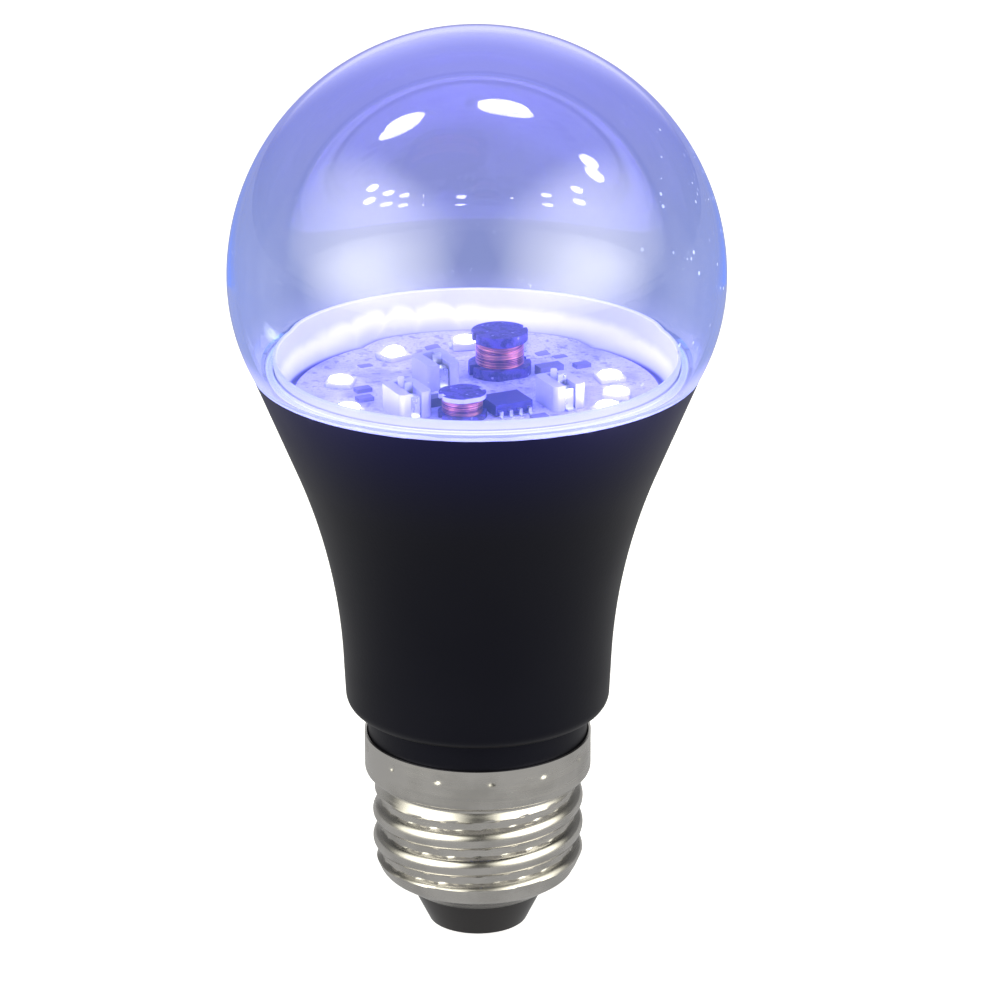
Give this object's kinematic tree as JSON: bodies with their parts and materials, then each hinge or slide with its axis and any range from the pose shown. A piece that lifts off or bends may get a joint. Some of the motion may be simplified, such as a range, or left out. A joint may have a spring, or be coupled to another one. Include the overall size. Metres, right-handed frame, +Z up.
{
  "type": "screw-cap black light bulb",
  "caption": "Screw-cap ultraviolet lamp: clear round globe over a lit lamp board with chokes and terminals, on a flared black housing with a threaded metal cap.",
  "frame": {"origin": "centre of the centre contact's outer face, at the foot of the cap", "axes": "+Z up the lamp's axis from the cap to the globe; the board's wide side with the chokes faces -Y"},
  "size_m": [0.06, 0.06, 0.1153],
  "materials": {
    "clear_globe": "clear, faintly violet, glossy",
    "black_housing": "satin",
    "white_silicone": "soft satin",
    "bare_aluminium": "pressed, bright edge",
    "white_board": "satin lacquer",
    "lit_led": "clear dome, lit",
    "dark_ferrite": "matt",
    "copper_wire": "enamelled, glossy",
    "chip_mould": "matt",
    "terminal_white": "satin",
    "tinned_clip": "bright tin",
    "component_body": "matt with bright ends",
    "nickel_cap": "bright nickel",
    "black_insulator": "glossy",
    "contact_metal": "tinned",
    "white_lead": "satin sleeve, bare tip"
  },
  "bodies": {
    "root": {"globe": "clear_globe", "globe_seal": "white_silicone", "housing": "black_housing", "heat_sink_dish": "bare_aluminium", "led_board": "white_board", "large_choke_core": "dark_ferrite", "large_choke_winding": "copper_wire", "small_choke_core": "dark_ferrite", "small_choke_winding": "copper_wire", "driver_chip": "chip_mould", "right_terminal_block": "terminal_white", "right_terminal_clip": "tinned_clip", "front_left_terminal_block": "terminal_white", "front_left_terminal_clip": "tinned_clip", "back_left_terminal_block": "terminal_white", "back_left_terminal_clip": "tinned_clip", "diode": "component_body", "capacitor": "component_body", "resistor_1": "component_body", "resistor_2": "component_body", "resistor_3": "component_body", "resistor_4": "component_body", "cap_shell": "nickel_cap", "cap_insulator": "black_insulator", "centre_contact": "contact_metal", "live_wire": "white_lead", "neutral_wire": "white_lead", "led_1": "lit_led", "led_2": "lit_led", "led_3": "lit_led", "led_4": "lit_led", "led_5": "lit_led", "led_6": "lit_led", "led_7": "lit_led", "led_8": "lit_led", "led_9": "lit_led", "led_10": "lit_led", "led_11": "lit_led"}
  },
  "joints": []
}
